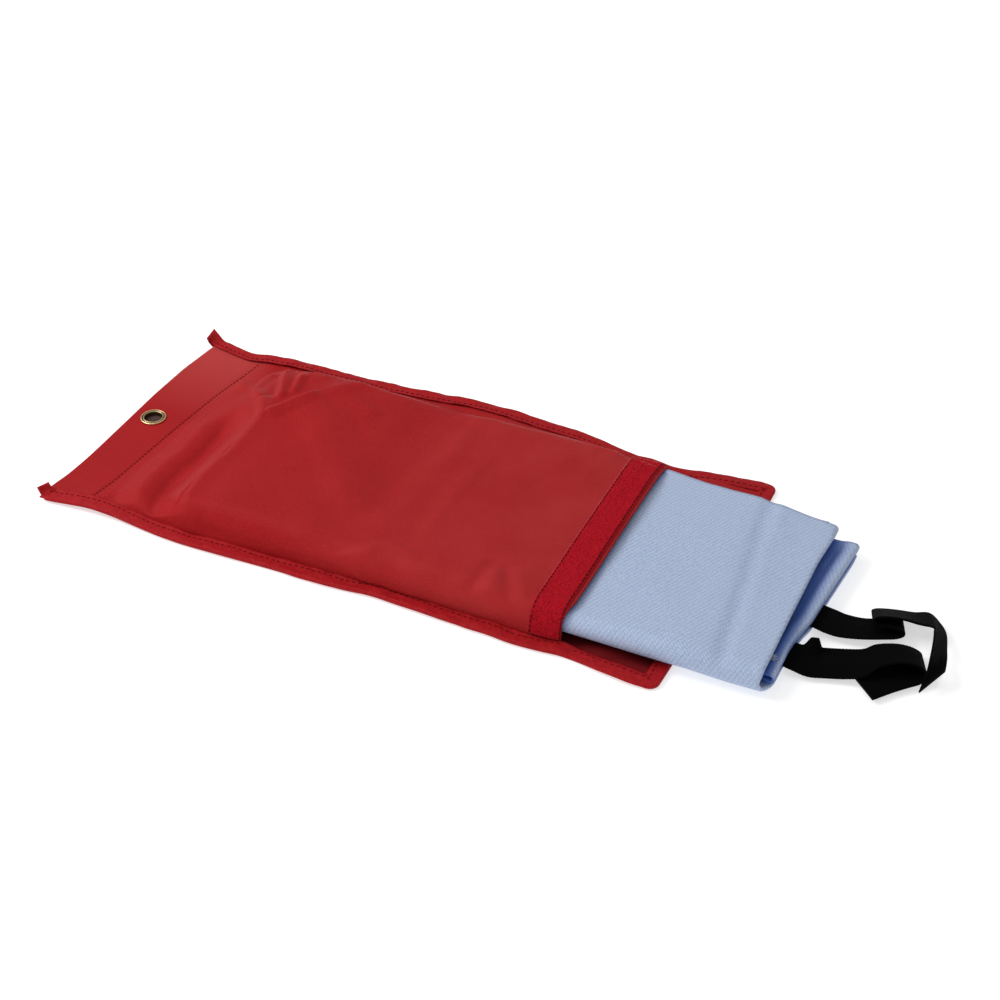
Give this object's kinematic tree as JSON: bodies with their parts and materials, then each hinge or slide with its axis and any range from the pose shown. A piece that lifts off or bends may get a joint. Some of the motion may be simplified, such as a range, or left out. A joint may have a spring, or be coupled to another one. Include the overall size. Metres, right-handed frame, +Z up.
{
  "type": "fire blanket",
  "caption": "Folded glass-cloth fire blanket half drawn from a red nylon pouch with a folding flap, a hanging eyelet and two webbing pull straps.",
  "frame": {"origin": "on the hanging eyelet's axis, in the plane the pouch's back rests on", "axes": "+X from the eyelet towards the mouth and the pull straps, +Y across the pouch, +Z up through its thickness, away from the resting plane"},
  "size_m": [0.5266, 0.19, 0.0211],
  "materials": {
    "pouch_nylon": "coated nylon with a fine weave and a satin sheen",
    "binding_tape": "soft woven tape",
    "loop_pile": "fuzzy loop pile",
    "hook_pile": "moulded nylon hooks",
    "red_thread": "twisted sewing thread",
    "eyelet_brass": "antique brass, worn bright on its rims",
    "glass_cloth": "twill-woven glass fibre with a soft coating",
    "white_thread": "twisted sewing thread",
    "black_webbing": "ribbed polypropylene webbing",
    "black_thread": "twisted sewing thread"
  },
  "bodies": {
    "pouch": {"back_panel": "pouch_nylon", "front_panel": "pouch_nylon", "near_binding": "binding_tape", "far_binding": "binding_tape", "eyelet_barrel": "eyelet_brass", "eyelet_washer": "eyelet_brass", "loop_tape": "loop_pile", "header_stitching": "red_thread", "loop_tape_stitching": "red_thread", "near_binding_stitching": "red_thread", "far_binding_stitching": "red_thread"},
    "flap": {"closing_flap": "pouch_nylon", "flap_binding": "binding_tape", "hook_tape": "hook_pile", "flap_binding_stitching": "red_thread", "hook_tape_stitching": "red_thread"},
    "blanket": {"blanket_cloth": "glass_cloth", "blanket_hem_stitching": "white_thread", "near_strap_root": "black_webbing", "far_strap_root": "black_webbing", "near_root_stitching": "black_thread", "far_root_stitching": "black_thread"},
    "near_strap": {"near_pull_strap": "black_webbing"},
    "far_strap": {"far_pull_strap": "black_webbing"}
  },
  "joints": [
    {"name": "blanket_slide", "type": "slide", "parent": "pouch", "child": "blanket", "axis": [1, 0, 0], "range_m": [-0.116, 0.125]},
    {"name": "flap_hinge", "type": "hinge", "parent": "pouch", "child": "flap", "pos_m": [0.318, 0, -0.0002], "axis": [0, 1, 0], "range_deg": [0, 170]},
    {"name": "near_strap_swing", "type": "hinge", "parent": "blanket", "child": "near_strap", "pos_m": [0.436, -0.044, 0.00595], "axis": [0, -1, 0], "range_deg": [0, 75]},
    {"name": "far_strap_swing", "type": "hinge", "parent": "blanket", "child": "far_strap", "pos_m": [0.436, -0.008, 0.00595], "axis": [0, -1, 0], "range_deg": [0, 75]}
  ]
}
